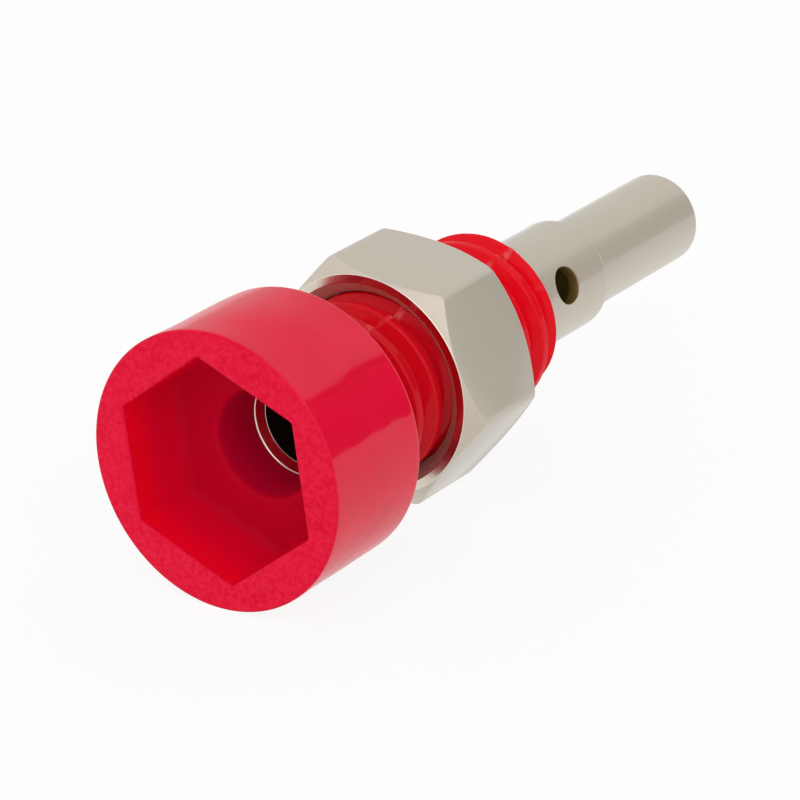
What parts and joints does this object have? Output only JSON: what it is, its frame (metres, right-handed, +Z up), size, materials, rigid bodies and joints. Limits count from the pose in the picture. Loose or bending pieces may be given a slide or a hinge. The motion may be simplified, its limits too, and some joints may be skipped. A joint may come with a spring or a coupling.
{
  "type": "banana socket",
  "caption": "Insulated panel socket for a banana plug: round moulded head with a hexagonal recess, threaded shank, turned metal contact with a solder tail, and a hexagon nut.",
  "frame": {"origin": "on the axis, in the plane of the head's rear face, which seats on the panel", "axes": "+Y along the axis from the head towards the tail, +Z up as the picture shows it, +X to the right seen from the head"},
  "size_m": [0.0122, 0.0354, 0.0122],
  "materials": {
    "insulator": "red moulded plastic, satin with a fine grain on the head's front, glossier on the thread",
    "contact": "nickel-plated, satin, turned",
    "nut": "nickel-plated, satin"
  },
  "bodies": {
    "socket": {"insulator": "insulator", "contact": "contact"},
    "nut": {"hex_nut": "nut"}
  },
  "joints": [
    {"name": "nut_travel", "type": "slide", "parent": "socket", "child": "nut", "axis": [0, 1, 0], "range_m": [-0.0036, 0.0082]}
  ]
}
